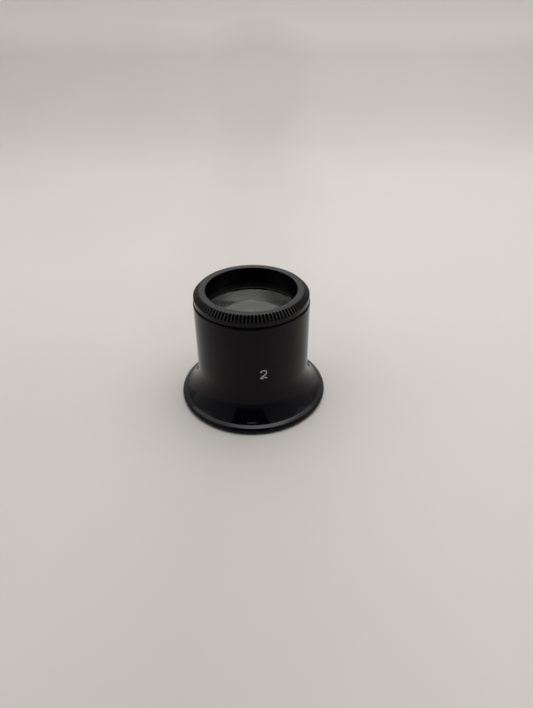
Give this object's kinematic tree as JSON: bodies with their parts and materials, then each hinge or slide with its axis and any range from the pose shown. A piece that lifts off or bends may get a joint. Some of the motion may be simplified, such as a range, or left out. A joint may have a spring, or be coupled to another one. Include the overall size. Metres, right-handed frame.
{
  "type": "watchmaker loupe",
  "caption": "Black watchmaker's eye loupe: flared eyecup and tube with a biconvex glass lens under a knurled screw ring, and a white engraved numeral.",
  "frame": {"origin": "centre of the eye rim's flat face, on which the loupe stands", "axes": "+Z along the optical axis from the eye towards the work; the numeral faces -Y, turned a little towards +X"},
  "size_m": [0.0382, 0.0382, 0.0304],
  "materials": {
    "cup_plastic": "moulded black plastic, polished",
    "white_paint": "white paint wiped into an engraving",
    "lens_glass": "polished faces, fine-ground edge",
    "slip_plastic": "turned black plastic, dull",
    "ring_plastic": "turned black plastic, semi-gloss, knurled bevel"
  },
  "bodies": {
    "eyecup": {"eyecup": "cup_plastic", "numeral_fill": "white_paint", "lens": "lens_glass"},
    "slip_ring": {"slip_ring": "slip_plastic"},
    "screw_ring": {"screw_ring": "ring_plastic"}
  },
  "joints": [
    {"name": "ring_lift", "type": "slide", "parent": "eyecup", "child": "slip_ring", "axis": [0, 0, 1], "range_m": [0, 0.00225]},
    {"name": "ring_turn", "type": "hinge", "parent": "slip_ring", "child": "screw_ring", "pos_m": [0, 0, 0.029], "axis": [0, 0, 1], "range_deg": [0, 1080]}
  ],
  "couplings": [
    {"joint": "ring_lift", "follows": "ring_turn", "m_per_rad": 0.00011937}
  ]
}
